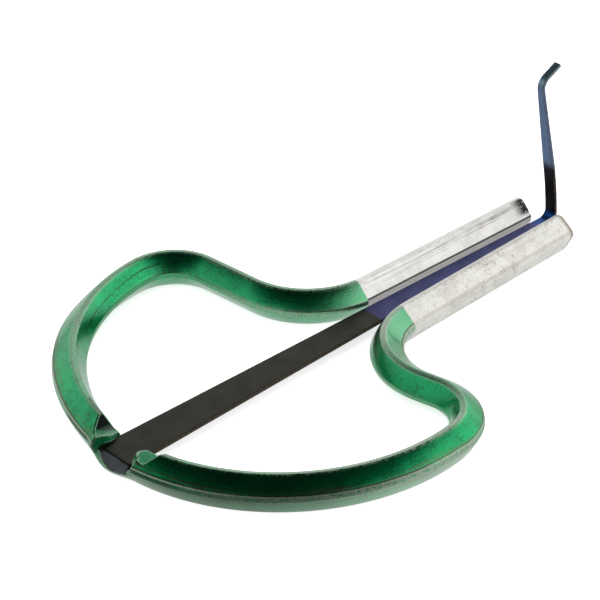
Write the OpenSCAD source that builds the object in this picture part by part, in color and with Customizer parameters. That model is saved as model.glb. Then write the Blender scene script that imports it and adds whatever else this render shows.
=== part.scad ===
// Jaw harp: a bent square bar with a flat spring reed staked into the back of its bow.
// Lengths are in millimetres and angles in degrees.
// +X runs along the reed to the jaw tips, +Y is the harp's left, and +Z is up.
// The origin is under the bar's centreline at the back of the bow, on the face that the harp lies on.

/* [Bar] */
// Width of the bar from its inner edge to its outer edge; it stands on edge
bar_w = 4.15; // [3.8:0.05:4.8]
// Height of the bar from its bottom edge to its top edge
bar_h = 4.7; // [4.4:0.1:5.2]
// Width of the flat land that rolling leaves along each edge of the bar
land_w = 0.65; // [0.5:0.05:1.2]
// Angle by which bending has rolled the bar's top inwards at the back of the bow
back_roll = 13; // [0:1:16]
// Angle of that roll from the left corner to the left jaw's tip
left_roll = -3; // [-6:1:16]
// Angle of that roll from the right corner to the right jaw's tip
right_roll = 12; // [-6:1:16]

/* [Bow] */
// Centreline radius of the back's left half, beside the reed
left_back_r = 31.2; // [28:0.1:33]
// Centreline radius of the back's right half, beside the reed
right_back_r = 24.9; // [24:0.1:28]
// Angle that the back covers on each side of the reed
back_turn = 31; // [20:1:40]
// Angle by which the left half is set forward where it leaves the clamp
left_set = 3.7; // [0:0.1:5]
// Angle by which the right half is set forward where it leaves the clamp
right_set = 0; // [0:0.1:5]
// Centreline radius of the bow's left side
left_side_r = 25.7; // [24:0.1:28]
// Centreline radius of the bow's right side
right_side_r = 25.9; // [24:0.1:28]
// Centreline radius of the two front corners
corner_r = 6.5; // [5:0.1:7]
// Distance from the back of the bow to the arms that run in to the jaws, at the mid-point of each
arm_x = 32.8; // [31:0.1:36]
// Distance from the reed's middle line to the mid-point of an arm
arm_y = 12; // [10:0.5:14]
// Angle by which the left arm leans towards the jaws
left_arm_lean = 5; // [-12:0.5:8]
// Angle by which the right arm leans towards the jaws
right_arm_lean = -11.5; // [-12:0.5:8]
// Centreline radius where the left arm turns forward into its jaw
left_shoulder_r = 10; // [8:0.1:10.5]
// Centreline radius where the right arm turns forward into its jaw
right_shoulder_r = 9.1; // [8:0.1:10.5]

/* [Jaws] */
// Length of the frame from the centreline at the back of the bow to the left jaw's tip
frame_l = 70.6; // [64:0.2:76]
// Distance by which the right jaw's tip stands ahead of the left one's
right_lead = 0.5; // [0:0.1:0.8]
// Gap between the jaws at the left one's tip
tip_gap = 2.5; // [2.2:0.1:3]
// Angle by which each jaw closes towards the reed
jaw_toe = 1.37; // [1:0.01:1.8]
// Radius that is worn on the edges of the jaw tips
tip_round = 0.8; // [0.4:0.1:1]

/* [Reed] */
// Thickness of the reed
reed_t = 0.5; // [0.4:0.05:0.6]
// Running gap between the reed and each jaw
reed_play = 0.28; // [0.15:0.01:0.35]
// Distance by which the reed lies below the middle of the bar
reed_drop = 0.3; // [0:0.1:0.6]
// Distance from the left jaw's tip to where the reed starts to turn up
reed_reach = 0.5; // [0.4:0.1:2]

/* [Trigger] */
// Radius of the turn from the reed up into the trigger, at mid-thickness
heel_r = 1.3; // [1:0.1:2]
// Angle of that turn
heel_turn = 93; // [85:1:100]
// Radius of the slow curve in the trigger's lower half
stem_r = 60; // [40:5:100]
// Angle of the slow curve
stem_turn = 7; // [4:1:10]
// Width of the trigger at its foot
stem_w = 1.7; // [1.4:0.1:1.8]
// Length of the straight tapered part above the slow curve
taper_l = 11.3; // [6:0.1:12]
// Radius of the turn at the top of the trigger, at mid-thickness
crook_r = 1.5; // [0.8:0.1:2]
// Angle of the turn at the top
crook_turn = 75; // [40:1:80]
// Length of the finger piece beyond that turn
crook_l = 2.3; // [2:0.1:4]
// Width of the trigger at its end
end_w = 1; // [0.8:0.1:1.3]

/* [Clamp] */
// Clearance between the reed's edges and the walls of the notch that holds it
seat_play = 0.03; // [0.02:0.01:0.06]
// Distance from the bar's centreline back to the line where the reed's tail folds down
fold_x = 0.65; // [0.5:0.05:1]
// Angle at which the tail folds down over the back of the bar
fold_turn = 45; // [40:1:50]
// Length of the folded tail
tail_l = 1.55; // [1.2:0.05:1.6]
// Radius of the rounded end of the tail, seen square on
tail_r = 4.3; // [4:0.1:6]
// Distance from the reed's middle line to the middle of the tail's rounded end, towards the right
tail_y = 0.4; // [0:0.1:0.6]
// Radius of the two lips that are staked over the reed
lip_r = 1.5; // [1.3:0.1:1.7]
// Distance by which each lip covers the reed's edge
lip_cover = 0.5; // [0.3:0.05:0.6]
// Angle of the lips' sloping noses from upright
lip_slope = 20; // [10:1:24]
// Place of the lips along the reed, from the bar's centreline
lip_x = 0.7; // [0.4:0.1:0.9]
// Depth below the top of the bar at which the chisel cuts start, on the bar's outer face
cut_depth = 1.1; // [0.9:0.05:1.3]
// Distance from the bar's centreline back to where the chisel cuts start
cut_x = 0.95; // [0.8:0.05:1.1]
// Distance from the notch to the steep end of the left chisel cut, where it starts
left_cut_l = 0.7; // [0.5:0.1:1]
// Distance from the notch to the steep end of the right chisel cut, where it starts
right_cut_l = 2.2; // [1.8:0.1:2.4]
// Angle in plan by which the chisel cuts spread away from the reed towards the inside of the bow
cut_skew = 30; // [20:1:35]
// Angle at which the chisel cuts get deeper towards the inside of the bow
cut_slope = 17; // [14:1:20]
// Height by which each chisel cut rises from its steep end to the notch
cut_rise = 0.35; // [0.2:0.05:0.5]
// Angle of a chisel cut's steep end from upright
cut_lean = 12; // [5:1:20]
// Distance by which staking has spread the back of the bar outwards
swell = 0.6; // [0:0.05:0.7]
// Distance from the reed's middle line to the middle of that spread, towards the left
swell_y = 0.6; // [0:0.1:1]
// Distance along the bar over which that spread dies away on each side
swell_l = 3.4; // [3:0.1:6]

/* [Hidden] */
$fn = 96;
// Overrun of the reed's drawings past its tip
over = 1;
// Gap in the reed at the line where the clamp's grip ends and the tongue starts to bend
hinge_gap = 0.05;
green = [0.13, 0.48, 0.29];
steel = [0.21, 0.22, 0.2];
blue = [0.29, 0.28, 0.46];

// Length of the flats along the bar's curves, and the fewest flats in a bend, a tip and the fold
flat_l = 1;
bend_steps = 8;
tip_steps = 5;
fold_steps = 4;
// The bar's section is a diamond whose four corners are flat lands
land_k = land_w / 2;
reach = bar_w / 2;
left = 1;
right = -1;

// Heights: the bar's middle, then the reed's middle, underside and top
bar_z = bar_h / 2;
mid_z = bar_z - reed_drop;
floor_z = mid_z - reed_t / 2;
top_z = mid_z + reed_t / 2;
grip_x = reach + reed_t / 2 + hinge_gap;

// Inner face of a jaw, carried back along the reed, and the reed's half-width beside it
function jaw_y(x) = tip_gap / 2 + (frame_l - x) * tan(jaw_toe);
function reed_y(x) = jaw_y(x) - reed_play;

function unit(a) = [cos(a), sin(a)];
function turned(v) = [-v.y, v.x];
function angle_of(v) = atan2(v.y, v.x);

// One half of the frame, drawn for the left and mirrored for the right.
// Each function gives a centre of a bend, all from lines and circles that touch.
function back_r(side) = side == left ? left_back_r : right_back_r;
function set_way(side) = 180 - (side == left ? left_set : right_set);
function side_r(side) = side == left ? left_side_r : right_side_r;
function shoulder_r(side) = side == left ? left_shoulder_r : right_shoulder_r;
function arm_lean(side) = side == left ? left_arm_lean : right_arm_lean;
function arm_way(side) = unit(arm_lean(side) - 90);
function back_c(side) = -back_r(side) * unit(set_way(side));
function side_c(side) = back_c(side) + (back_r(side) - side_r(side)) * unit(set_way(side) - back_turn);
// The corner touches the side's circle from within, and the arm's line from behind
function corner_c(side) =
    let (way = arm_way(side))
    let (foot = [arm_x, arm_y] - corner_r * turned(way) - side_c(side))
    let (along = foot * way)
    let (swing = side_r(side) - corner_r)
    side_c(side) + foot + way * (-along - sqrt(along * along - foot * foot + swing * swing));
// The jaw's centreline, by its heading and the point at its tip
jaw_way = unit(-jaw_toe);
function end_roll(side) = side == left ? left_roll : right_roll;
function jaw_tip(side) =
    let (x = frame_l + (side == right ? right_lead : 0), roll = end_roll(side))
    [x, jaw_y(x) + (reach * cos(roll) + land_k * sin(roll)) / cos(jaw_toe)];
// The shoulder touches the arm's line from ahead and the jaw's line from outside
function shoulder_c(side) =
    let (way = arm_way(side))
    let (start = [arm_x, arm_y] + shoulder_r(side) * turned(way))
    let (out = turned(jaw_way))
    start + way * ((shoulder_r(side) + (jaw_tip(side) - start) * out) / (way * out));

// The bar is swept through stations. A station holds a point of the centreline, the direction
// outwards from the bow there, the roll, and how far the section has shrunk into the rounded tip.
function bend_stations(centre, r, from, to, inward = 1, rolls = [0, 0]) =
    let (steps = max(bend_steps, ceil(abs(to - from) / 360 * 2 * PI * r / flat_l)))
    [for (i = [0:steps])
        let (way = unit(from + (to - from) * i / steps))
        [centre + r * way, inward * way, rolls[0] + (rolls[1] - rolls[0]) * i / steps, 0]];

function tip_stations(side) =
    [for (i = [0:tip_steps])
        let (a = 90 * i / tip_steps)
        [jaw_tip(side) - tip_round * (1 - sin(a)) * jaw_way, turned(jaw_way),
            end_roll(side), tip_round * (1 - cos(a))]];

function side_stations(side) =
    let (start = set_way(side), turn = start - back_turn, roll = end_roll(side))
    let (corner_start = angle_of(corner_c(side) - side_c(side)))
    concat(
        bend_stations(back_c(side), back_r(side), start, turn, 1, [back_roll, back_roll]),
        bend_stations(side_c(side), side_r(side), turn, corner_start, 1, [back_roll, roll]),
        bend_stations(corner_c(side), corner_r, corner_start, arm_lean(side), 1, [roll, roll]),
        bend_stations(shoulder_c(side), shoulder_r(side), 180 + arm_lean(side), 270 - jaw_toe, -1, [roll, roll]),
        tip_stations(side));

function mirrored(v) = [v.x, -v.y];

// From the right jaw's tip, round the back of the bow, to the left jaw's tip
function bar_stations() =
    let (right_side = side_stations(right), left_side = side_stations(left))
    concat(
        [for (i = [len(right_side) - 1:-1:0])
            let (s = right_side[i])
            [mirrored(s[0]), mirrored(s[1]), s[2], s[3]]],
        [for (i = [1:len(left_side) - 1]) left_side[i]]);

// The staked back is spread outwards where the bar lies under the reed's tail
function swell_at(y) =
    abs(y - swell_y) < swell_l ? swell * (1 + cos(180 * (y - swell_y) / swell_l)) / 2 : 0;

// Six corners of the section roll with the bar. The bottom edge is pressed level instead.
edge_points = [
    [reach, -land_k], [reach, land_k], [land_k, bar_z],
    [-land_k, bar_z], [-reach, land_k], [-reach, -land_k]
];
function rolled(p, roll) = p.x * unit(roll) + p.y * unit(roll + 90);
// Where the sloping face from an edge to the bottom meets the level that the harp lies on
function foot_point(edge, roll) =
    let (from = rolled([edge * reach, -land_k], roll), to = rolled([edge * land_k, -bar_z], roll))
    [from.x + (to.x - from.x) * (-bar_z - from.y) / (to.y - from.y), -bar_z];

function bar_section(roll) =
    concat([for (p = edge_points) rolled(p, roll)], [foot_point(-1, roll), foot_point(1, roll)]);

function bar_ring(station) =
    let (share = 1 - station[3] / reach)
    let (spread = swell_at(station[0].y))
    [for (p = bar_section(station[2]))
        let (at = station[0] + station[1] * (p.x * share + (p.x > 0 ? spread : 0)))
        [at.x, at.y, bar_z + p.y * share]];

module bent_bar() {
    stations = bar_stations();
    count = len(stations);
    sides = len(bar_section(back_roll));
    polyhedron(
        points = [for (s = stations) each bar_ring(s)],
        faces = concat(
            [[for (j = [0:sides - 1]) j]],
            [for (i = [0:count - 2], j = [0:sides - 1])
                let (here = i * sides, next = (j + 1) % sides)
                each [[here + j, here + sides + j, here + sides + next],
                    [here + j, here + sides + next, here + next]]],
            [[for (j = [sides - 1:-1:0]) (count - 1) * sides + j]]));
}

// Outline of the reed in plan between two places, grown by a clearance
module reed_outline(from, to, grow = 0) {
    polygon([
        [from, -reed_y(from) - grow], [to, -reed_y(to) - grow],
        [to, reed_y(to) + grow], [from, reed_y(from) + grow]
    ]);
}

// Moves what it is given onto the line where the tail folds, tipped down along the tail
module at_fold() {
    translate([-fold_x, 0, floor_z])
        rotate([0, -fold_turn, 0])
            children();
}

// A lip is a blunt cone that stands on the reed, with its nose over the reed's edge
module lip(side) {
    lip_h = bar_h - top_z;
    translate([lip_x, side * (reed_y(0) + seat_play + lip_r - lip_cover), top_z])
        cylinder(r1 = lip_r, r2 = lip_r - lip_h * tan(lip_slope), h = lip_h);
}

// The tail's rounded end, seen square on and grown by a clearance
module tail_end(grow = 0) {
    translate([tail_r - tail_l, -tail_y, -bar_h])
        cylinder(r = tail_r + grow, h = 2 * bar_h);
}

// The notch is open above the reed, except where the lips reach in. Outside the fold the bar
// is dressed flush with the tail's upper face, and the tail lies in a bed of its own shape.
module notch() {
    difference() {
        translate([0, 0, floor_z])
            linear_extrude(bar_h)
                reed_outline(-fold_x - reed_t, bar_w, seat_play);
        lip(left);
        lip(right);
    }
    at_fold() {
        translate([0, 0, reed_t])
            linear_extrude(bar_h)
                reed_outline(-bar_w, bar_w, seat_play);
        intersection() {
            linear_extrude(bar_h)
                reed_outline(-bar_w, 0, seat_play);
            tail_end(seat_play);
        }
    }
}

// A chisel cut behind a lip, from its steep end down and along the top of the lip
module chisel_cut(side, length) {
    mirror([0, side == left ? 0 : 1, 0])
        translate([-cut_x, reed_y(0) + seat_play + length, bar_h - cut_depth])
            rotate([0, cut_slope, cut_skew])
                rotate([90, 0, 90])
                    translate([0, 0, -bar_w])
                        linear_extrude(3 * bar_w)
                            polygon([
                                [0, 0], [bar_h * tan(cut_lean), bar_h],
                                [-length - lip_r, bar_h], [-length - lip_r, cut_rise]
                            ]);
}

module frame() {
    color(green)
        difference() {
            bent_bar();
            notch();
            chisel_cut(left, left_cut_l);
            chisel_cut(right, right_cut_l);
        }
}

// The reed is drawn three ways and kept where all agree: its bent strip in side view,
// its taper in plan, and the trigger's taper from the front.
// The side view is in X and Z, and a station's direction points to the strip's upper face.
heel_x = frame_l + reed_reach;
heel_c = [heel_x, mid_z + heel_r];
stem_start = heel_c + heel_r * unit(heel_turn - 90);
lean = heel_turn + stem_turn;
stem_c = stem_start + stem_r * unit(heel_turn + 90);
taper_start = stem_c + stem_r * unit(lean - 90);
taper_end = taper_start + taper_l * unit(lean);
crook_c = taper_end + crook_r * unit(lean - 90);
crook_way = lean - crook_turn;
crook_end = crook_c + crook_r * unit(crook_way + 90);
reed_tip = crook_end + crook_l * unit(crook_way);

function strip_outline(stations) = concat(
    [for (s = stations) s[0] + s[1] * reed_t / 2],
    [for (i = [len(stations) - 1:-1:0]) stations[i][0] - stations[i][1] * reed_t / 2]);

// Extrudes a side view right across the reed
module across_reed() {
    translate([0, jaw_y(-tail_l - fold_x), 0])
        rotate([90, 0, 0])
            linear_extrude(2 * jaw_y(-tail_l - fold_x))
                children();
}

module tongue_side() {
    polygon(concat(
        [for (i = [1:2 * bend_steps - 1]) [grip_x, mid_z] + reed_t / 2 * unit(270 - 90 * i / bend_steps)],
        strip_outline(concat(
            [[[grip_x, mid_z], unit(90), 0]],
            bend_stations(heel_c, heel_r, -90, heel_turn - 90, -1),
            bend_stations(stem_c, stem_r, heel_turn - 90, lean - 90, -1),
            bend_stations(crook_c, crook_r, lean + 90, crook_way + 90),
            [[reed_tip, unit(crook_way + 90), 0]]))));
}

module tongue_plan() {
    reach_x = heel_x + heel_r;
    polygon([
        [0, -reed_y(0)], [heel_x, -reed_y(heel_x)], [reach_x, -stem_w / 2], [reed_tip.x + over, -stem_w / 2],
        [reed_tip.x + over, stem_w / 2], [reach_x, stem_w / 2], [heel_x, reed_y(heel_x)], [0, reed_y(0)]
    ]);
}

module tongue_front() {
    polygon([
        [-reed_y(0), 0], [reed_y(0), 0], [reed_y(0), heel_c.y], [stem_w / 2, heel_c.y],
        [stem_w / 2, taper_start.y], [end_w / 2, taper_end.y], [end_w / 2, reed_tip.y + over],
        [-end_w / 2, reed_tip.y + over], [-end_w / 2, taper_end.y], [-stem_w / 2, taper_start.y],
        [-stem_w / 2, heel_c.y], [-reed_y(0), heel_c.y]
    ]);
}

module reed_tongue() {
    color(blue)
        intersection() {
            across_reed()
                tongue_side();
            linear_extrude(reed_tip.y + over)
                tongue_plan();
            rotate([90, 0, 90])
                linear_extrude(reed_tip.x + over)
                    tongue_front();
        }
}

// The clamped end: flat in the notch, then folded down over the back of the bar
module root_side() {
    ridge = [-fold_x, floor_z];
    tail_way = unit(180 + fold_turn);
    difference() {
        polygon(concat(
            [[grip_x, floor_z], [grip_x, top_z]],
            [for (i = [0:fold_steps]) ridge + reed_t * unit(90 + fold_turn * i / fold_steps)],
            [ridge + tail_l * tail_way + reed_t * unit(90 + fold_turn), ridge + tail_l * tail_way, ridge]));
        translate([grip_x, mid_z])
            circle(r = reed_t / 2 + hinge_gap);
    }
}

module reed_root() {
    color(steel)
        intersection() {
            across_reed()
                root_side();
            linear_extrude(bar_h)
                reed_outline(-tail_l - fold_x, grip_x);
            at_fold()
                tail_end();
        }
}

frame();
reed_root();
reed_tongue();
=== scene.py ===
import math

import bpy
import numpy as np
from mathutils import Matrix, Vector


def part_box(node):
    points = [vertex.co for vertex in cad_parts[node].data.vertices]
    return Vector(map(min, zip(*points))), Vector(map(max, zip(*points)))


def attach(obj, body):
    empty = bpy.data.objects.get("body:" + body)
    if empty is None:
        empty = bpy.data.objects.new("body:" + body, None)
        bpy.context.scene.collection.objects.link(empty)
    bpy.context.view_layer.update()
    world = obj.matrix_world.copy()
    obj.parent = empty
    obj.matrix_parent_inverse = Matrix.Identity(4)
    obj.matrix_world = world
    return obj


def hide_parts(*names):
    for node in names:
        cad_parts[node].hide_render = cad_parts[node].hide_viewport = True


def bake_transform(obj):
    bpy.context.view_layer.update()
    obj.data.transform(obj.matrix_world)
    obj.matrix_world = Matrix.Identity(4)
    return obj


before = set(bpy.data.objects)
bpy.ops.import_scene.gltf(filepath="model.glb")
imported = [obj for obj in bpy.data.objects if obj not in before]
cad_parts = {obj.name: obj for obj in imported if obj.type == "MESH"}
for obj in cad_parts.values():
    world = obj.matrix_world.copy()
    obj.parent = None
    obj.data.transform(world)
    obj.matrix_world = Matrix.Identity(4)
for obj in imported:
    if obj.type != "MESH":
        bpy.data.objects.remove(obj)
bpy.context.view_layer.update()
print("frame loaded:", sorted(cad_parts))

mm = 0.001
mid = (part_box("frame")[0].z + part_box("frame")[1].z) / 2 / mm  # height of the bar's middle


def unit(angle):
    a = np.radians(angle)
    return np.stack([np.cos(a), np.sin(a)], -1)


def ease(t):
    t = np.clip(t, 0, 1)
    return t * t * (3 - 2 * t)


def smoothMax(a, b, soft):
    # the greater of two, with the edge between them rounded over
    h = np.clip(soft - np.abs(a - b), 0, None) / soft
    return np.maximum(a, b) + h * h * soft / 4


def linearColour(code):
    parts = [int(code[i:i + 2], 16) / 255 for i in (1, 3, 5)]
    return [c / 12.92 if c <= 0.04045 else ((c + 0.055) / 1.055) ** 2.4 for c in parts] + [1.0]


# The bar is a rolled diamond on edge. Its sizes are those of the CAD, with edges softened by wear, and the
# back's swell, turn and roll and the shape of its cuts and of the reed's tail are drawn finer than there
bar = {
    "width": 4.15, "height": 4.7,
    "land": 0.65,          # flat that rolling leaves along each edge
    "edgeRadius": 0.3,     # softness where a land meets a facet
    "crown": 0.05,         # bulge of the facets
    "armX": 32.8, "armY": 12, "cornerRadius": 6.5,
    "length": 70.6, "tipGap": 2.5, "jawToe": 1.37, "tipRound": 0.8, "tipRings": 8,
    "swell": 0.7, "swellY": 0.5, "swellReach": 3.6,  # staking spreads the back outwards
    "swellFrom": -0.3, "swellOver": 1.5,  # the section's outer side moves, and its inner side stays
    "melt": 2,             # the halves melt together this far to either side of the clamp's middle
    "step": 0.5,           # spacing of the rings
    "clampReach": 9.5,     # the staked back ends at this distance from the reed's middle line
    "overlap": 0.4,        # and the swept bar starts this far inside it
}
halves = {
    # side is +1 for the left; lead is how far a jaw stands ahead of the left one
    "left": {"side": 1, "set": 3.7, "backRadius": 31.2, "backTurn": 32.0, "sideRadius": 25.7,
             "lean": 5, "shoulderRadius": 10, "rollBack": 15.5, "rollEnd": -3, "lead": 0},
    "right": {"side": -1, "set": 0, "backRadius": 24.9, "backTurn": 29.5, "sideRadius": 25.9,
              "lean": -11.5, "shoulderRadius": 9.1, "rollBack": 10, "rollEnd": 12, "lead": 0.5},
}
reed = {
    "thick": 0.5, "play": 0.28, "drop": 0.3, "reach": 0.5, "edgeRadius": 0.12,
    "heelRadius": 1.3, "heelTurn": 93, "stemRadius": 60, "stemTurn": 7, "stemWidth": 1.7,
    "taperLength": 11.3, "crookRadius": 1.5, "crookTurn": 75, "crookLength": 2.3, "endWidth": 1.0,
    "foldX": 0.65, "foldTurn": 45, "tailLength": 1.35, "tailRadius": 4.3, "tailY": 0.7,
    "tailTurn": (5, 75), "tailLeast": 0.05,  # stretch of the tail's arc that is drawn, and where it stops
    "step": 0.4,           # spacing of the rings along the tongue
    "rings": {"tail": 14, "fold": 7, "heel": 14, "stem": 16, "taper": 24, "crook": 12, "end": 6},
}
clamp = {
    "play": 0.03,
    "lipX": 0.7, "lipRadius": 1.5, "lipCover": 0.5, "lipSlope": 20,
    "cutX": 0.95, "cutDepth": 1.1, "cutSlope": 17, "cutLean": 20,
    "leftCut": 0.7, "leftSkew": 17, "leftRise": -0.1,
    "rightCut": 2.2, "rightSkew": 14, "rightRise": 0.35,
    "dressedRight": 1.1,   # how far the dressing outside the fold runs on past the notch, on the right
    "holeX": 0.85, "holeY": 2.85, "holeRadius": 0.3,  # pinhole that is left at the near end of the fold
    "soft": 0.16,          # how far staking and lacquer round the cut edges
    "lipSoft": 0.3, "cutSoft": 0.5,  # and the feet of the lips and of the cuts
    "tuck": 0.05, "tuckFrom": 0.3, "tuckOver": 0.2,  # the ends slip this far under the swept bar
    "cell": 0.11,          # size of the mesh's cells there
    "sideMargin": 0.4, "topMargin": 0.3,  # room for the cells round the section
    "nudge": 0.01, "farthest": 0.06, "flattest": 0.3,  # how the mesh's points move onto the surface
}

reach = bar["width"] / 2
landHalf = bar["land"] / 2
barTop = bar["height"] / 2
reedMid = mid - reed["drop"]
reedFloor = reedMid - reed["thick"] / 2
reedTop = reedMid + reed["thick"] / 2


def reedHalf(x):
    jawY = bar["tipGap"] / 2 + (bar["length"] - x) * math.tan(math.radians(bar["jawToe"]))
    return jawY - reed["play"]


def turned(v):
    return np.array([-v[1], v[0]])


def angleOf(v):
    return math.degrees(math.atan2(v[1], v[0]))


def halfPath(half):
    # arcs and straight runs of one half, drawn for the left: (length, point function, outward function)
    toe = bar["jawToe"]
    start, way = 180 - half["set"], unit(half["lean"] - 90)
    backCentre = -half["backRadius"] * unit(start)
    turn = start - half["backTurn"]
    sideCentre = backCentre + (half["backRadius"] - half["sideRadius"]) * unit(turn)
    armMid = np.array([bar["armX"], bar["armY"]])
    foot = armMid - bar["cornerRadius"] * turned(way) - sideCentre
    swing = half["sideRadius"] - bar["cornerRadius"]
    along = foot @ way
    cornerCentre = sideCentre + foot + way * (-along - math.sqrt(along ** 2 - foot @ foot + swing ** 2))
    roll = math.radians(half["rollEnd"])
    tipX = bar["length"] + half["lead"]
    jawOut = (reach * math.cos(roll) + landHalf * math.sin(roll)) / math.cos(math.radians(toe))
    tip = np.array([tipX, reedHalf(tipX) + reed["play"] + jawOut])
    armStart = armMid + half["shoulderRadius"] * turned(way)
    out = unit(90 - toe)
    shoulderCentre = armStart + way * ((half["shoulderRadius"] + (tip - armStart) @ out) / (way @ out))
    cornerStart = angleOf(cornerCentre - sideCentre)
    runs = []

    def arc(centre, radius, first, last, inward=1):
        length = abs(math.radians(last - first)) * radius
        runs.append((length, lambda t: centre + radius * unit(first + (last - first) * t),
                     lambda t: inward * unit(first + (last - first) * t)))

    def line(a, b, outward):
        runs.append((float(np.linalg.norm(b - a)), lambda t: a + (b - a) * t[..., None],
                     lambda t: np.broadcast_to(outward, t.shape + (2,))))

    arc(backCentre, half["backRadius"], start, turn)
    arc(sideCentre, half["sideRadius"], turn, cornerStart)
    arc(cornerCentre, bar["cornerRadius"], cornerStart, half["lean"])
    line(cornerCentre + bar["cornerRadius"] * unit(half["lean"]),
         shoulderCentre + half["shoulderRadius"] * unit(180 + half["lean"]), unit(half["lean"]))
    arc(shoulderCentre, half["shoulderRadius"], 180 + half["lean"], 270 - toe, -1)
    line(shoulderCentre - half["shoulderRadius"] * out, tip, out)
    return runs


def onPath(half, s):
    # centre, outward direction and roll at distances s from the clamp
    runs = half["runs"]
    centre, outward = np.zeros(s.shape + (2,)), np.zeros(s.shape + (2,))
    before = 0
    for index, (length, point, way) in enumerate(runs):
        here = s < before + length if index < len(runs) - 1 else s >= before
        if index:
            here &= s >= before
        t = (s[here] - before) / length
        centre[here], outward[here] = point(t), way(t)
        before += length
    roll = half["rollBack"] + (half["rollEnd"] - half["rollBack"]) * ease((s - runs[0][0]) / runs[1][0])
    sign = np.array([1, half["side"]])
    return centre * sign, outward * sign, roll


for half in halves.values():
    half["runs"] = halfPath(half)
    half["total"] = sum(run[0] for run in half["runs"])


def onBar(s):
    # the same for both halves, with s counted towards the left; they melt together at the clamp
    share = ease((s / bar["melt"] + 1) / 2)
    left, right = onPath(halves["left"], s), onPath(halves["right"], -s)
    centre, outward, roll = [l * w + r * (1 - w) for l, r, w in
                             zip(left, right, (share[..., None], share[..., None], share))]
    return centre, outward / np.linalg.norm(outward, axis=-1, keepdims=True), roll, share


def placed(s, a, b):
    # millimetre coordinates of points that lie a outwards and b upwards of the bar's middle line
    centre, outward, roll, share = onBar(s)
    y = np.clip((centre[..., 1] - bar["swellY"]) / bar["swellReach"], -1, 1)
    spread = bar["swell"] * (1 + np.cos(np.pi * y)) / 2 * ease((a - bar["swellFrom"]) / bar["swellOver"])
    flat = centre + outward * (a + spread)[..., None]
    return np.stack([flat[..., 0], flat[..., 1], mid + b], -1), share


def unrolled(s, a, b):
    # s and the place on the section, with the bar's roll taken off
    roll = np.radians(onBar(s)[2])
    return np.stack([s, a * np.cos(roll) + b * np.sin(roll), -a * np.sin(roll) + b * np.cos(roll)], -1)


def roundedSection(roll):
    # the rolled diamond with its bottom edge pressed level, from the inner bottom corner round the outside
    turnBy = np.radians(roll)
    spin = np.array([[math.cos(turnBy), math.sin(turnBy)], [-math.sin(turnBy), math.cos(turnBy)]])
    edges = np.array([[reach, -landHalf], [reach, landHalf], [landHalf, barTop],
                      [-landHalf, barTop], [-reach, landHalf], [-reach, -landHalf]]) @ spin

    def foot(edge):
        a, b = np.array([[edge * reach, -landHalf], [edge * landHalf, -barTop]]) @ spin
        return [a[0] + (b[0] - a[0]) * (-barTop - a[1]) / (b[1] - a[1]), -barTop]

    corners = np.vstack([[foot(-1), foot(1)], edges])
    outline, count = [], len(corners)
    for i in range(count):
        here, last, following = corners[i], corners[i - 1], corners[(i + 1) % count]
        inWay, outWay = here - last, following - here
        inWay, outWay = inWay / np.linalg.norm(inWay), outWay / np.linalg.norm(outWay)
        bend = math.acos(np.clip(inWay @ outWay, -1, 1))
        cut = bar["edgeRadius"] * math.tan(bend / 2)
        before, after = here - inWay * cut, here + outWay * cut
        for t in np.linspace(0, 1, 4):
            outline.append((1 - t) ** 2 * before + 2 * t * (1 - t) * here + t ** 2 * after)
        if i in (1, 3, 5, 7):  # a facet follows this corner
            run = following - outWay * cut - after
            normal = np.array([outWay[1], -outWay[0]])
            for t in (0.2, 0.4, 0.6, 0.8):
                outline.append(after + run * t + normal * bar["crown"] * 4 * t * (1 - t))
    return np.array(outline)


def closedTube(points, own):
    # quads between neighbouring rings, and the two end rings closed
    rows, columns = points.shape[:2]
    i, j = np.meshgrid(np.arange(rows - 1), np.arange(columns), indexing="ij")
    k = (j + 1) % columns
    quads = np.stack([i * columns + j, i * columns + k, (i + 1) * columns + k, (i + 1) * columns + j], -1)
    ends = [list(range(columns - 1, -1, -1)), list(range((rows - 1) * columns, rows * columns))]
    return points.reshape(-1, 3), quads.reshape(-1, 4).tolist() + ends, own.reshape(-1, 3)


def sweptHalf(half):
    # rings from the staked back to the rounded tip
    start, last = bar["clampReach"] - bar["overlap"], half["total"] - bar["tipRound"]
    stations = [(s, 0) for s in np.linspace(start, last, int((last - start) / bar["step"]))]
    for angle in np.radians(np.linspace(0, 90, bar["tipRings"]))[1:]:
        stations.append((last + bar["tipRound"] * math.sin(angle),
                         bar["tipRound"] * (1 - math.cos(angle)) / reach))
    points, own = [], []
    for s, shrink in stations:
        signed = np.array([s * half["side"]])
        section = roundedSection(float(onBar(signed)[2][0])) * (1 - shrink)
        s = np.full(len(section), signed[0])
        points.append(placed(s, *section.T)[0])
        own.append(unrolled(s, *section.T))
    order = slice(None, None, half["side"])
    return closedTube(np.array(points)[order], np.array(own)[order])


def sectionField(roll, a, b):
    # below zero inside the section, which is convex
    outline = roundedSection(roll)
    way = np.roll(outline, -1, 0) - outline
    normal = np.stack([way[:, 1], -way[:, 0]], -1) / np.linalg.norm(way, axis=1, keepdims=True)
    field = np.full(a.shape, -1e3)
    for (na, nb), offset in zip(normal, (normal * outline).sum(1)):
        field = np.maximum(field, na * a + nb * b - offset)
    return field


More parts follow.
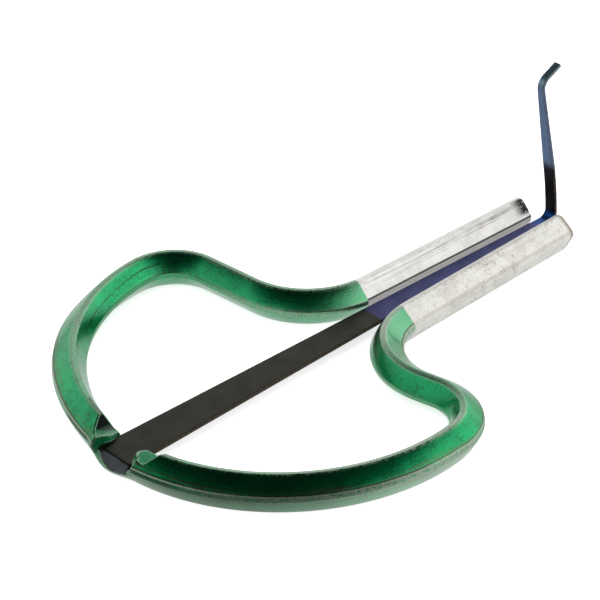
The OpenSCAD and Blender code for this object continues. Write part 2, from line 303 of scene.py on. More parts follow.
def chiselField(x, y, z, side, length, skew, rise):
    # below zero in the cut that a chisel leaves as it drives a lip towards the reed
    u, v = x + clamp["cutX"], side * y - (reedHalf(0) + clamp["play"] + length)
    w = z - (bar["height"] - clamp["cutDepth"])
    skew, slope = math.radians(skew), math.radians(clamp["cutSlope"])
    u, v = u * math.cos(skew) + v * math.sin(skew), -u * math.sin(skew) + v * math.cos(skew)
    u, w = u * math.cos(slope) - w * math.sin(slope), u * math.sin(slope) + w * math.cos(slope)
    back = length + clamp["lipRadius"]
    wall = v - w * math.tan(math.radians(clamp["cutLean"]))
    ground = -v * rise / back - w
    return np.maximum(smoothMax(wall, ground, clamp["cutSoft"]), -back - v)


def notchField(x, y, z):
    # below zero in the notch, round the two lips, and outside the fold down to the tail and its bed
    turn = math.radians(reed["foldTurn"])
    along = (x + reed["foldX"]) * math.cos(turn) + (z - reedFloor) * math.sin(turn)
    above = -(x + reed["foldX"]) * math.sin(turn) + (z - reedFloor) * math.cos(turn)
    wide = np.abs(y) - clamp["play"]
    box = np.maximum.reduce([wide - reedHalf(0), reedFloor - z, -reed["foldX"] - reed["thick"] - x])
    dressed = np.maximum.reduce([y - reedHalf(0) - clamp["play"], reed["thick"] - above,
                                 -y - reedHalf(0) - clamp["dressedRight"]])
    for side in (1, -1):
        lipY = side * (reedHalf(0) + clamp["play"] + clamp["lipRadius"] - clamp["lipCover"])
        slope = (z - reedTop) * math.tan(math.radians(clamp["lipSlope"]))
        lip = np.maximum(np.hypot(x - clamp["lipX"], y - lipY) - clamp["lipRadius"] + slope, reedTop - z)
        box, dressed = smoothMax(box, -lip, clamp["lipSoft"]), smoothMax(dressed, -lip, clamp["lipSoft"])
    tail = np.hypot(along - reed["tailRadius"] + reed["tailLength"], y + reed["tailY"])
    bed = np.maximum.reduce([tail - reed["tailRadius"] - clamp["play"], -above, along, wide - reedHalf(0)])
    hole = np.hypot(x + clamp["holeX"], y + clamp["holeY"]) - clamp["holeRadius"]
    hole = np.maximum(hole, reedFloor - z)
    return np.minimum.reduce([box, dressed, bed, hole])


def backField(s, a, b):
    # below zero in the metal of the staked back
    at, share = placed(s, a, b)
    x, y, z = np.moveaxis(at, -1, 0)
    left, right = (sectionField(half["rollBack"], a, b) for half in halves.values())
    field = left * share + right * (1 - share)
    field = smoothMax(field, -notchField(x, y, z), clamp["soft"])
    for side, name in ((1, "left"), (-1, "right")):
        cut = chiselField(x, y, z, side, clamp[name + "Cut"], clamp[name + "Skew"], clamp[name + "Rise"])
        field = smoothMax(field, -cut, clamp["soft"])
    tuck = clamp["tuck"] * ease((np.abs(s) - bar["clampReach"] + clamp["tuckFrom"]) / clamp["tuckOver"])
    return np.maximum(field + tuck, np.abs(s) - bar["clampReach"])


def netOfCells(field):
    # a vertex in every cell that the surface crosses, and a quad round every grid edge that it crosses
    cells = np.array(field.shape) - 1
    total, count, quads = np.zeros((*cells, 3)), np.zeros(cells), []
    index = np.arange(cells.prod()).reshape(cells)
    for axis in range(3):
        one, two = (axis + 1) % 3, (axis + 2) % 3
        grid = np.moveaxis(field, (axis, one, two), (0, 1, 2))
        first, second = grid[:-1], grid[1:]
        crossed = (first < 0) != (second < 0)
        t = np.where(crossed, first / np.where(crossed, first - second, 1), 0)
        turnedTotal = np.moveaxis(total, (axis, one, two), (0, 1, 2))
        turnedCount = np.moveaxis(count, (axis, one, two), (0, 1, 2))
        for p in (0, 1):
            for q in (0, 1):
                part = (slice(None), slice(p, p + cells[one]), slice(q, q + cells[two]))
                turnedCount += crossed[part]
                turnedTotal[..., axis] += t[part]
                turnedTotal[..., one] += p * crossed[part]
                turnedTotal[..., two] += q * crossed[part]
        turnedIndex = np.moveaxis(index, (axis, one, two), (0, 1, 2))
        i, j, k = np.nonzero(crossed[:, 1:-1, 1:-1])
        ring = np.stack([turnedIndex[i, j, k], turnedIndex[i, j + 1, k],
                         turnedIndex[i, j + 1, k + 1], turnedIndex[i, j, k + 1]], -1)
        leaving = first[i, j + 1, k + 1] < 0
        quads.append(np.where(leaving[:, None], ring, ring[:, ::-1]))
    used = count > 0
    number = np.cumsum(used.ravel()) - 1
    corner = np.stack(np.nonzero(used), -1)
    return corner + total[used] / count[used][:, None], number[np.concatenate(quads)]


def stakedBack():
    cell, span = clamp["cell"], bar["clampReach"] + 2 * clamp["cell"]
    low = np.array([-span, -reach - clamp["sideMargin"], -barTop - clamp["topMargin"]])
    counts = np.ceil(-2 * low / cell).astype(int) + 1
    axes = [start + cell * np.arange(count) for start, count in zip(low, counts)]
    net, quads = netOfCells(backField(*np.meshgrid(*axes, indexing="ij")))
    points = low + net * cell
    nudge, farthest = clamp["nudge"], clamp["farthest"]
    for turn in range(3):  # onto the surface itself, away from the sharp ends
        here = backField(*points.T)
        slope = np.stack([(backField(*(points + nudge * way).T) - here) / nudge for way in np.eye(3)], -1)
        move = np.clip(here / np.maximum((slope ** 2).sum(1), clamp["flattest"]), -farthest, farthest)
        inner = np.abs(points[:, 0]) < bar["clampReach"] - clamp["tuckFrom"]
        points -= slope * (move * inner)[:, None]
    return placed(*points.T)[0], quads.tolist(), unrolled(*points.T)


def edgeBend(points, quads, edges):
    # how sharply the surface turns at each vertex, in 1/mm: above zero on an edge, below in a corner
    normals = np.zeros(points.shape)
    facing = np.cross(points[quads[:, 2]] - points[quads[:, 0]], points[quads[:, 3]] - points[quads[:, 1]])
    for corner in range(4):
        np.add.at(normals, quads[:, corner], facing)
    normals /= np.maximum(np.linalg.norm(normals, axis=1, keepdims=True), 1e-9)
    way = points[edges[:, 1]] - points[edges[:, 0]]
    square = np.maximum((way ** 2).sum(1), 1e-6)
    ends = np.concatenate([edges, edges[:, ::-1]])
    turnAt = np.concatenate([-(way * normals[edges[:, 0]]).sum(1), (way * normals[edges[:, 1]]).sum(1)]) * 2
    turnAt /= np.concatenate([square, square])
    out, into = np.zeros(len(points)), np.zeros(len(points))
    np.maximum.at(out, ends[:, 0], turnAt)
    np.minimum.at(into, ends[:, 0], turnAt)
    bend = out + into
    for turn in range(2):
        total, count = np.zeros(len(points)), np.zeros(len(points))
        np.add.at(total, ends[:, 0], bend[ends[:, 1]])
        np.add.at(count, ends[:, 0], 1)
        bend = (bend + total / count) / 2
    return bend


def meshOf(name, parts, attribute):
    # parts are (points, faces, own coordinates) in millimetres, joined in one mesh
    points, own = (np.concatenate([part[i] for part in parts]) for i in (0, 2))
    faces, before = [], 0
    for part in parts:
        faces += [[corner + before for corner in face] for face in part[1]]
        before += len(part[0])
    mesh = bpy.data.meshes.new(name)
    mesh.from_pydata((points * mm).tolist(), [], faces)
    mesh.polygons.foreach_set("use_smooth", [True] * len(mesh.polygons))
    edges = np.zeros(len(mesh.edges) * 2, np.int32)
    mesh.edges.foreach_get("vertices", edges)
    edges = edges.reshape(-1, 2)
    bend = edgeBend(points, np.array([face for face in faces if len(face) == 4]), edges)
    rims = {frozenset(pair) for face in faces if len(face) > 4 for pair in zip(face, face[1:] + face[:1])}
    mesh.attributes.new("sharp_edge", "BOOLEAN", "EDGE").data.foreach_set(
        "value", [frozenset(pair) in rims for pair in edges.tolist()])
    for key, values in ((attribute, own), ("rest", points)):
        layer = mesh.attributes.new(key, "FLOAT_VECTOR", "POINT")
        layer.data.foreach_set("vector", values.reshape(-1).astype(np.float32))
    mesh.attributes.new("bend", "FLOAT", "POINT").data.foreach_set("value", bend.astype(np.float32))
    piece = bpy.data.objects.new(name, mesh)
    bpy.context.scene.collection.objects.link(piece)
    return piece


harpFrame = meshOf("harp_frame", [sweptHalf(halves["right"]), stakedBack(), sweptHalf(halves["left"])], "bar")
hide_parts("frame")
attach(harpFrame, "harp")
print("frame made:", len(harpFrame.data.polygons), "faces")


def reedStations():
    # centre in x and z, direction to the upper face, and the strip's two edges in y
    stations, foldTurn, rings = [], reed["foldTurn"], reed["rings"]
    ridge = np.array([-reed["foldX"], reedFloor])
    half, foldHalf = reed["thick"] / 2, reedHalf(-reed["foldX"])

    def add(point, angle, first, second=None):
        stations.append((point, unit(angle), first, -first if second is None else second))

    for angle in np.linspace(*reed["tailTurn"], rings["tail"]):  # round the tail's end
        away = reed["tailLength"] - reed["tailRadius"] * (1 - math.cos(math.radians(angle)))
        if away < reed["tailLeast"]:
            break
        spread = reed["tailRadius"] * math.sin(math.radians(angle))
        add(ridge + away * unit(180 + foldTurn) + half * unit(90 + foldTurn), 90 + foldTurn,
            min(foldHalf, -reed["tailY"] + spread), max(-foldHalf, -reed["tailY"] - spread))
    for angle in np.linspace(90 + foldTurn, 90, rings["fold"]):
        add(ridge + half * unit(angle), angle, foldHalf)
    heelX = bar["length"] + reed["reach"]
    heelCentre = np.array([heelX, reedMid + reed["heelRadius"]])
    for x in np.arange(-reed["foldX"] + reed["step"], heelX, reed["step"]):
        add(np.array([x, reedMid]), 90, reedHalf(x))
    stemHalf, heelHalf, endHalf = reed["stemWidth"] / 2, reedHalf(heelX), reed["endWidth"] / 2
    for angle in np.linspace(0, reed["heelTurn"], rings["heel"]):
        width = heelHalf + (stemHalf - heelHalf) * float(ease(angle / reed["heelTurn"]))
        add(heelCentre + reed["heelRadius"] * unit(angle - 90), angle + 90, width)
    stemCentre = stations[-1][0] + reed["stemRadius"] * unit(reed["heelTurn"] + 90)
    lean = reed["heelTurn"] + reed["stemTurn"]
    for angle in np.linspace(reed["heelTurn"], lean, rings["stem"])[1:]:
        add(stemCentre + reed["stemRadius"] * unit(angle - 90), angle + 90, stemHalf)
    taperStart = stations[-1][0]
    for t in np.linspace(0, 1, rings["taper"])[1:]:
        add(taperStart + reed["taperLength"] * t * unit(lean), lean + 90, stemHalf + (endHalf - stemHalf) * t)
    crookCentre = stations[-1][0] + reed["crookRadius"] * unit(lean - 90)
    crookWay = lean - reed["crookTurn"]
    for angle in np.linspace(lean, crookWay, rings["crook"])[1:]:
        add(crookCentre + reed["crookRadius"] * unit(angle + 90), angle + 90, endHalf)
    crookEnd = stations[-1][0]
    for t in np.linspace(0, 1, rings["end"])[1:]:
        add(crookEnd + reed["crookLength"] * t * unit(crookWay), crookWay + 90, endHalf)
    return stations


def reedStrip():
    soft, half = reed["edgeRadius"], reed["thick"] / 2
    points, own, run, last = [], [], 0, None
    for centre, up, first, second in reedStations():
        run += 0 if last is None else float(np.linalg.norm(centre - last))
        last = centre
        middle, width = (first + second) / 2, (first - second) / 2
        corners = []
        for cornerY, cornerZ, start in ((1, 1, 0), (-1, 1, 90), (-1, -1, 180), (1, -1, 270)):
            for angle in np.linspace(start, start + 90, 4):
                way = unit(angle)
                corners.append([cornerY * (width - soft) + soft * way[0],
                                cornerZ * (half - soft) + soft * way[1]])
            if cornerY == cornerZ:  # across the wide face that follows
                corners += [[cornerY * (width - soft) * t, cornerZ * half] for t in (0.9, 0.5, 0, -0.5, -0.9)]
        corners = np.array(corners)
        place = centre + corners[:, 1:] * up
        points.append(np.column_stack([place[:, 0], corners[:, 0] + middle, place[:, 1]]))
        own.append(np.column_stack([np.full(len(corners), run), corners]))
    return closedTube(np.array(points), np.array(own))


harpReed = meshOf("spring_reed", [reedStrip()], "strip")
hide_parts("reed_root", "reed_tongue")
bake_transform(harpReed)
print("reed made:", len(harpReed.data.polygons), "faces")


def newMaterial(name):
    material = bpy.data.materials.new(name)
    material.use_nodes = True
    tree = material.node_tree
    tree.nodes.clear()
    return material, tree, tree.nodes.new("ShaderNodeOutputMaterial")


def addNode(tree, kind, settings=None, **sockets):
    # settings are the node's own values; a socket takes a value or another node's output, i0 the first one
    node = tree.nodes.new(kind)
    for key, value in (settings or {}).items():
        setattr(node, key, value)
    for key, value in sockets.items():
        numbered = key[0] == "i" and key[1:].isdigit()
        socket = node.inputs[int(key[1:]) if numbered else key.replace("_", " ")]
        if isinstance(value, bpy.types.NodeSocket):
            tree.links.new(value, socket)
        else:
            socket.default_value = value
    return node


def chained(tree, operation, values):
    # the sum, product or maximum of several values
    result = values[0]
    for value in values[1:]:
        result = addNode(tree, "ShaderNodeMath", {"operation": operation}, i0=result, i1=value).outputs[0]
    return result


def mask(tree, at, terms):
    # The product of its terms. One is a number, a name in at, a list of terms of which the greatest counts,
    # or a fade: (name, low, high) goes from 0 at low to 1 at high, and two more numbers replace that 0 and 1
    values = []
    for term in terms:
        if isinstance(term, list):
            term = chained(tree, "MAXIMUM", [mask(tree, at, [inner]) for inner in term])
        elif isinstance(term, tuple):
            name, low, high, first, last = term if len(term) == 5 else (*term, 0, 1)
            term = addNode(tree, "ShaderNodeMapRange", {"interpolation_type": "SMOOTHSTEP"}, Value=at[name],
                           From_Min=low, From_Max=high, To_Min=first, To_Max=last).outputs[0]
        elif isinstance(term, str):
            term = at[term]
        values.append(term)
    return chained(tree, "MULTIPLY", values)


def placesOf(tree, attribute, look):
    # sockets by name: x, y, z in the shared frame and s, a, b on the piece, in mm, its bend, and the patterns
    rest, own = (addNode(tree, "ShaderNodeAttribute", {"attribute_name": name}).outputs["Vector"]
                 for name in ("rest", attribute))
    at = {"own": own, "bend": addNode(tree, "ShaderNodeAttribute", {"attribute_name": "bend"}).outputs["Fac"]}
    for names, vector in (("xyz", rest), ("sab", own)):
        at.update(zip(names, addNode(tree, "ShaderNodeSeparateXYZ", None, Vector=vector).outputs))
    for name, (size, stretch, detail) in look["patterns"].items():
        base = rest if stretch == 1 else own
        drawn = addNode(tree, "ShaderNodeVectorMath", {"operation": "DIVIDE"}, i0=base, i1=(stretch, 1, 1))
        at[name] = addNode(tree, "ShaderNodeTexNoise", None, Vector=drawn.outputs[0], Scale=1 / size,
                           Detail=detail).outputs[0]
    return at


def addMarks(tree, at, look):
    # places shifted by a pattern, and then the marks that the layers share
    for name, (term, times, place) in look["shifts"].items():
        at[name] = addNode(tree, "ShaderNodeMath", {"operation": "MULTIPLY_ADD"}, i0=mask(tree, at, [term]),
                           i1=times, i2=at[place]).outputs[0]
    for name, terms in look["marks"].items():
        at[name] = mask(tree, at, terms)


def layered(tree, at, look, lowest):
    # each layer is the terms of its amount and the name of its colour, laid over what is below it
    colour = linearColour(look[lowest])
    for terms, over in look["layers"]:
        colour = addNode(tree, "ShaderNodeMix", {"data_type": "RGBA"}, i0=mask(tree, at, terms), i6=colour,
                         i7=linearColour(look[over])).outputs[2]
    return colour


def relief(tree, at, look):
    heights = [mask(tree, at, [name, share]) for name, share in look["heights"].items()]
    return addNode(tree, "ShaderNodeBump", None, Strength=mask(tree, at, look["reliefStrength"]),
                   Distance=look["reliefDepth"] * mm, Height=chained(tree, "ADD", heights)).outputs[0]


# Places on the bar, in mm: s runs from the clamp along the bar, above zero on the left half, and along is s
# without its sign; a runs outwards and b upwards from its middle line; across is a without its sign;
# outness is 1 on the facets and less in the chisel cuts
barLook = {
    # size in mm, how much longer along the bar, and detail; the drawing lines are coarser than real ones,
    # so that they show
    "patterns": {
        "cloud": (2.5, 1, 4), "speck": (0.3, 1, 3), "blotch": (1.3, 1, 5),
        "drawn": (0.16, 40, 2), "line": (0.11, 150, 1),
    },
    # a term, what it is multiplied by, and the place that it is added to
    "shifts": {
        "raggedX": ("cloud", 0.5, "x"), "raggedTop": ("speck", 0.45, "b"),
        "raggedSide": ("speck", 0.6, "across"), "raggedIn": ("cloud", 0.25, "a"),
        "thinning": (("s", -1, 1), -5, "along"),  # the lacquer thins later on the left
    },
    "marks": {
        "bare": [("raggedX", 41.5, 41.65)],  # the bar was dipped to here
        "topLand": [("raggedTop", 2.41, 2.54)],
        "sideLand": [("raggedSide", 2.24, 2.34), 0.5],
        "land": [["topLand", "sideLand"]],
        "cut": [("outness", 0.97, 0.9), ("along", 9, 8)],
        "lip": [("outness", 0.97, 0.9), ("along", 3.4, 3.1)],
        "edge": [("bend", 0.5, 2.6)],
        "outerRim": [("a", 1.88, 1.96), ("b", 0.14, 0.26), ("b", 0.42, 0.36)],
        # hands rub it more away from the clamp and on the right, and least inside the bow
        "shoulder": [("s", -66, -60), ("s", -43, -48)],
        "sheltered": [("a", -1.3, -1.9), ("along", 50, 60, 0.65, 0.15)],
        "handled": [("along", 4, 34, 0.5, 1), ("s", -2, 2, 0.95, 0.62),
                    ("sheltered", 0, 1, 1, 0), ("shoulder", 0, 1, 1, 0.4)],
        "grain": [("speck", 0.3, 0.62, 0.55, 1)],
        "rubbedLand": ["land", "handled", "grain"],
        # pale edges: wear, and a painted highlight along them
        "rubbedEdgeAndHighlight": ["edge", "handled", ("speck", 0.38, 0.52, 0.25, 0.85)],
        "rubbedRim": ["outerRim", "grain", 0.9],
        "rubbed": [["rubbedLand", "rubbedEdgeAndHighlight", "rubbedRim"]],
        "dullLand": ["land", 0.8],
        "fingered": [("s", -1, 1, 1, 0.35)],  # the right jaw has been handled more
        "spotted": [("s", 0, -1), ("x", 49, 54), ("x", 63, 58)],
    },
    "metal": [("bare", 0, 1, 1, 0.25), ("lip", 0, 1, 1, 0.4)],
    "heights": {"speck": 0.35, "blotch": 0.9, "drawn": 0.3}, "reliefDepth": 0.04,
    "reliefStrength": [("bare", 0, 1, 0.6, 1)],
}
lacquer = {
    "green": "#10ad68",   # clear green over bright steel
    "deep": "#0a7d4c",    # where it lies thicker
    "pool": "#064226",    # run together in corners and tight bends
    "thin": "#72b68c",    # its thin last coat before the jaws
    "worn": "#c4cebf",    # steel rubbed bare on the lands, with green left in its grain; also painted floor reflection on the lower outer facet and painted highlight on the edges
    "streak": "#6f6b45",  # rust-brown drawing lines beside the outer land
    "groove": "#453f2a",  # grime along the foot of the outer land
    "staked": "#0b5033",  # painted shade: darker green over the chisel cuts
    "scoopShade": "#07160e",   # painted black shade deep in the chisel's cut
    "layers": [
        ([("cloud", 0.3, 0.75), 0.45], "deep"),
        ([("speck", 0.46, 0.6), ("blotch", 0.38, 0.56), 0.38], "pool"),
        ([("b", -0.1, -0.6), ("a", 0, 0.4), 0.3], "worn"),  # painted reflection of the pale floor on the lower outer facet
        ([("along", 8, 2, 0, 0.15)], "pool"),
        # painted shade over the chisel cuts
        (["cut", 0.7], "staked"),
        # painted shade: black deep in the chisel cuts
        (["cut", ("s", 3.5, 3.75)], "scoopShade"),
        ([("bend", -0.4, -2), ("along", 9, 10, 0.5, 1)], "pool"),
        ([("thinning", 60, 68), 0.8], "thin"),
        (["shoulder", "topLand", 0.8], "thin"),
        ([("a", 1.45, 1.75), ("across", 2.04, 1.95), ("along", 38, 44, 1, 0),
          ("drawn", 0.52, 0.6), 0.75], "streak"),
        # a seam that rolling left along the left side's inner face
        ([("raggedIn", -1.22, -1.16), ("raggedIn", -1.04, -1.1), ("b", 0, 0.3), ("s", 22, 28), ("s", 46, 42),
          ("drawn", 0.3, 0.5), 0.8], "pool"),
        # wear on the lands and rims; on the edges wear and a painted highlight
        (["rubbed"], "worn"),
        ([("b", 0.34, 0.42), ("b", 0.62, 0.5), ("a", 1.5, 1.7), ("drawn", 0.3, 0.5), 0.8], "groove"),
        (["edge", ("speck", 0.6, 0.68), 0.6], "pool"),
    ],
    "rough": [[("rubbed", 0, 1, 0.24, 0.5), ("dullLand", 0, 1, 0.24, 0.5)]],
    "coat": [("bare", 0, 1, 0.65, 0), ("rubbed", 0, 1, 1, 0.35), ("cut", 0, 1, 0.8, 0.2)],
    "coatRough": 0.1,
}
bareSteel = {
    "bright": "#ecebe5",  # the right jaw
    "cleanAndLit": "#f8f7f4",   # the left jaw, and painted light on the jaws' inner lands
    "land": "#9c9b99",    # the top lands, rolled duller
    # stains, and painted shade along the outer ridge; dirt in pits, and painted shade along the edge beside
    # the reed
    "stainAndShade": "#a39c91", "line": "#7d786f", "dirtAndEdgeShade": "#2e2a24",
    "rim": "#857a66",     # the rounded end of the right jaw
    "tip": "#171b1d",     # blackened inner corner of the left jaw's end
    "layers": [
        ([("s", -1, 1, 0, 0.8)], "cleanAndLit"),
        ([("cloud", 0.4, 0.7), 0.2], "stainAndShade"),
        ([("speck", 0.4, 0.66), "fingered", 0.18], "stainAndShade"),
        # painted light: the inner lands, which the other jaw and the reed shade, made nearly white
        ([("a", -1.9, -2), 0.8], "cleanAndLit"),
        (["topLand", ("s", -1, 1, 0.45, 0.3)], "land"),
        ([("blotch", 0.42, 0.66), ("speck", 0.3, 0.66), "fingered", ("spotted", 0, 1, 0.25, 0.7)], "stainAndShade"),
        # scratches on the upper facets
        ([("line", 0.55, 0.63), ("b", 1.1, 1.7), ("b", 2.3, 2.2), ("s", -1, 1, 0.2, 0.75),
          ("blotch", 0.35, 0.55, 0.7, 1)], "line"),
        ([("speck", 0.68, 0.78), 0.4], "dirtAndEdgeShade"),  # pits
        ([("a", -1.8, -1.86), ("b", 0.26, 0.32), ("b", 0.54, 0.48), 0.95], "dirtAndEdgeShade"),  # painted shade: a dark line along the edge above the inner land, beside the reed
        # painted shade: a soft darker line along the outer ridge, between the facets
        ([("a", 1.65, 1.75), ("b", 0.1, 0.32), ("b", 0.7, 0.5), 0.4], "stainAndShade"),
        ([("s", 0, -1), ("x", 69.9, 70.6), ("speck", 0.2, 0.5, 0.6, 1), 0.9], "rim"),
        ([("x", 67.6, 69.6), ("s", 0, 1), ("speck", 0.25, 0.42), ("a", 0.1, -0.4), ("b", 0.6, 1.1)], "tip"),
    ],
    "rough": [("blotch", 0.3, 0.7, 0.36, 0.5)],
}


def frameSteel():
    # drawn steel bar, dipped in clear green lacquer up to the jaws: deep colour, pale rubbed edges that also
    # carry a painted highlight
    material, tree, output = newMaterial("green_lacquered_drawn_steel")
    at = placesOf(tree, "bar", barLook)
    unsigned = addNode(tree, "ShaderNodeVectorMath", {"operation": "ABSOLUTE"}, i0=at["own"]).outputs[0]
    at.update(zip(("along", "across"), addNode(tree, "ShaderNodeSeparateXYZ", None, Vector=unsigned).outputs))
    facet = np.linalg.solve([[reach, landHalf], [landHalf, barTop]], [1, 1])
    at["outness"] = addNode(tree, "ShaderNodeVectorMath", {"operation": "DOT_PRODUCT"}, i0=unsigned,
                            i1=(0, *facet)).outputs["Value"]
    addMarks(tree, at, barLook)
    green, silver = layered(tree, at, lacquer, "green"), layered(tree, at, bareSteel, "bright")
    colour = addNode(tree, "ShaderNodeMix", {"data_type": "RGBA"}, i0=at["bare"], i6=green,
                     i7=silver).outputs[2]
    rough = addNode(tree, "ShaderNodeMix", None, i0=at["bare"], i2=mask(tree, at, lacquer["rough"]),
                    i3=mask(tree, at, bareSteel["rough"])).outputs[0]
    shader = addNode(tree, "ShaderNodeBsdfPrincipled", None, Base_Color=colour,
                     Metallic=mask(tree, at, barLook["metal"]), Roughness=rough,
                     Coat_Weight=mask(tree, at, lacquer["coat"]), Coat_Roughness=lacquer["coatRough"],
                     Normal=relief(tree, at, barLook))
    tree.links.new(shader.outputs[0], output.inputs[0])
    return material


reedLook = {
    "dark": "#34352e", "purple": "#464976", "blue": "#1f4f9a", "black": "#0c0e16", "steel": "#5f7596",
    "end": "#7c98a8", "ground": "#8a8a86", "tail": "#5f656c", "edge": "#6d5d4b",
    "patterns": {"cloud": (2.2, 1, 4), "speck": (0.25, 1, 3), "line": (0.12, 60, 2)},
    "shifts": {"raised": ("cloud", 0.8, "z")},
    "marks": {"wornEdge": [("bend", 2, 6), ("speck", 0.35, 0.6), 0.45]},
    "layers": [
        ([("x", 40, 40.2)], "purple"),            # between the jaws
        ([("x", 68.6, 71.2)], "blue"),            # the heel
        ([("raised", 3, 4)], "black"),            # the foot of the trigger
        ([("raised", 10.2, 11.6)], "steel"),      # its upper part
        ([("z", 22, 22.8)], "end"),               # its bent end
        ([("line", 0.5, 0.62), 0.03], "ground"),  # grinding lines, coarser than real ones, so that they show
        ([("x", -0.8, -1), ("cloud", 0.3, 0.6, 0.3, 0.8)], "tail"),
        (["wornEdge"], "edge"),
    ],
    "rough": [("cloud", 0.3, 0.7, 0.3, 0.42)],
    "heights": {"speck": 0.4, "line": 0.6}, "reliefDepth": 0.002, "reliefStrength": [0.4],
}


def reedSteel():
    # spring steel, its oxide colours from the heat in the order in which they ran: dark, purple, blue
    material, tree, output = newMaterial("heat_blued_spring_steel")
    at = placesOf(tree, "strip", reedLook)
    addMarks(tree, at, reedLook)
    shader = addNode(tree, "ShaderNodeBsdfPrincipled", None, Base_Color=layered(tree, at, reedLook, "dark"),
                     Metallic=1.0, Roughness=mask(tree, at, reedLook["rough"]),
                     Normal=relief(tree, at, reedLook))
    tree.links.new(shader.outputs[0], output.inputs[0])
    return material


harpFrame.data.materials.append(frameSteel())
harpReed.data.materials.append(reedSteel())
print("materials made")

studio = {
    "floorHalf": 1200, "floorColour": "#e8e8e8", "floorGlow": 0.72, "floorFill": 0.2, "mirroredGlow": 0.76,
    # the floor's dimmer side, as the metal mirrors it, with its border in mm from the origin
    "shadeTowards": -150, "shadeFrom": -5, "shadeTo": 10, "shaded": 0.15,
    # the backdrop is white up to its top and dark above it; it stands higher on the right
    "fadeFrom": 0.6, "fadeTo": 0.79, "higherTowards": -60, "higherBy": 0.09,
    "ceiling": 0.015, "horizon": 0.5, "horizonTo": 0.22, "brightTowards": -20, "sideContrast": 0.25,
    "darkTowards": -125, "darkFrom": 0.5, "darkTo": 0.85, "darkness": 0.08,  # the side the camera stands on
}


def floorCard():
    # matt white card: white to the camera with its shadow kept, and a glow where metal mirrors it, with
    # painted shade on the side towards the camera
    material, tree, output = newMaterial("floor_card")
    path = addNode(tree, "ShaderNodeLightPath").outputs
    place = addNode(tree, "ShaderNodeTexCoord").outputs["Object"]
    side = addNode(tree, "ShaderNodeVectorMath", {"operation": "DOT_PRODUCT"}, i0=place,
                   i1=(*unit(studio["shadeTowards"]), 0)).outputs["Value"]
    at = {"side": side, "camera": path["Is Camera Ray"]}
    mirrored = mask(tree, at, [("side", studio["shadeFrom"] * mm, studio["shadeTo"] * mm,
                                studio["mirroredGlow"], studio["shaded"])])
    lift = mask(tree, at, [("camera", 0, 1, studio["floorFill"], studio["floorGlow"])])
    card = addNode(tree, "ShaderNodeBsdfDiffuse", None, Color=linearColour(studio["floorColour"]))
    glow, mirror = (addNode(tree, "ShaderNodeEmission", None, Color=(1, 1, 1, 1), Strength=strength)
                    for strength in (lift, mirrored))
    lit = addNode(tree, "ShaderNodeAddShader", None, i0=card.outputs[0], i1=glow.outputs[0])
    inMetal = chained(tree, "MAXIMUM", [path["Is Glossy Ray"], path["Is Transmission Ray"]])
    both = addNode(tree, "ShaderNodeMixShader", None, i0=inMetal, i1=lit.outputs[0], i2=mirror.outputs[0])
    tree.links.new(both.outputs[0], output.inputs[0])
    return material


floorMesh = bpy.data.meshes.new("floor")
edge = studio["floorHalf"] * mm
corners = [(-edge, -edge, 0), (edge, -edge, 0), (edge, edge, 0), (-edge, edge, 0)]
floorMesh.from_pydata(corners, [], [(0, 1, 2, 3)])
floorMesh.materials.append(floorCard())
floor = bpy.data.objects.new("floor", floorMesh)
bpy.context.scene.collection.objects.link(floor)

world = bpy.data.worlds.new("studio")
world.use_nodes = True
bpy.context.scene.world = world
tree = world.node_tree
tree.nodes.clear()
output = tree.nodes.new("ShaderNodeOutputWorld")
path = addNode(tree, "ShaderNodeLightPath").outputs
way = addNode(tree, "ShaderNodeTexCoord").outputs["Generated"]
at = {"z": addNode(tree, "ShaderNodeSeparateXYZ", None, Vector=way).outputs[2]}
lean = unit(studio["higherTowards"]) * -studio["higherBy"]
directions = {"height": (*lean, 1), "behind": (*unit(studio["darkTowards"]), 0),
              "ahead": (*unit(studio["brightTowards"]), 0)}
for name, direction in directions.items():
    at[name] = addNode(tree, "ShaderNodeVectorMath", {"operation": "DOT_PRODUCT"}, i0=way,
                       i1=direction).outputs["Value"]
brightness = mask(tree, at, [
    ("height", studio["fadeFrom"], studio["fadeTo"], 1, studio["ceiling"]),
    ("z", 0, studio["horizonTo"], studio["horizon"], 1),
    ("behind", studio["darkFrom"], studio["darkTo"], 1, studio["darkness"]),
    ("ahead", -1, 1, 1 - studio["sideContrast"], 1 + studio["sideContrast"]),
])
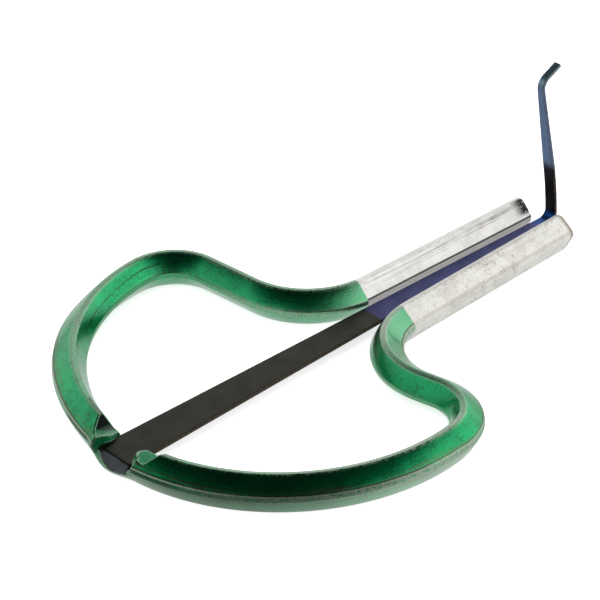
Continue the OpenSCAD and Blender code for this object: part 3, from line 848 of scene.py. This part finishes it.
strength = chained(tree, "MAXIMUM", [brightness, path["Is Camera Ray"]])
sky = addNode(tree, "ShaderNodeBackground", None, Color=(1, 1, 1, 1), Strength=strength)
tree.links.new(sky.outputs[0], output.inputs[0])

view = {
    "azimuth": -42.724, "elevation": 33.16, "roll": -1.143,
    "distance": 317.84, "lens": 155.2, "sensor": 36, "clip": (10, 10000),
    "target": (35.96, 8.478),  # at the height of the bar's middle
}
az, el, roll = (math.radians(view[k]) for k in ("azimuth", "elevation", "roll"))
forward = Vector((-math.sin(az) * math.cos(el), math.cos(az) * math.cos(el), -math.sin(el)))
rightWay = Vector((math.cos(az), math.sin(az), 0))
upWay = rightWay.cross(forward)
camRight = rightWay * math.cos(roll) + upWay * math.sin(roll)
camUp = upWay * math.cos(roll) - rightWay * math.sin(roll)
target = Vector((*view["target"], mid)) * mm
cameraData = bpy.data.cameras.new("camera")
cameraData.sensor_width, cameraData.lens = view["sensor"], view["lens"]
cameraData.clip_start, cameraData.clip_end = (depth * mm for depth in view["clip"])
camera = bpy.data.objects.new("camera", cameraData)
bpy.context.scene.collection.objects.link(camera)
turn = Matrix((camRight, camUp, -forward)).transposed()
camera.matrix_world = Matrix.Translation(target - forward * view["distance"] * mm) @ turn.to_4x4()
bpy.context.scene.camera = camera

# a wide softbox overhead, kept out of the reflections, for the soft shadow on the floor
overhead = {"azimuth": -150, "elevation": 70, "distance": 900, "size": 900, "power": 8}
lamp = bpy.data.lights.new("overhead_softbox", "AREA")
lamp.size, lamp.energy = overhead["size"] * mm, overhead["power"]
softbox = bpy.data.objects.new("overhead_softbox", lamp)
bpy.context.scene.collection.objects.link(softbox)
flat = unit(overhead["azimuth"]) * math.cos(math.radians(overhead["elevation"]))
way = Vector((flat[0], flat[1], math.sin(math.radians(overhead["elevation"]))))
softbox.location = target + way * overhead["distance"] * mm
softbox.rotation_mode = "QUATERNION"
softbox.rotation_quaternion = way.to_track_quat("Z", "Y")
softbox.visible_glossy = False
bpy.context.scene.view_settings.view_transform = "Standard"
print("studio made")
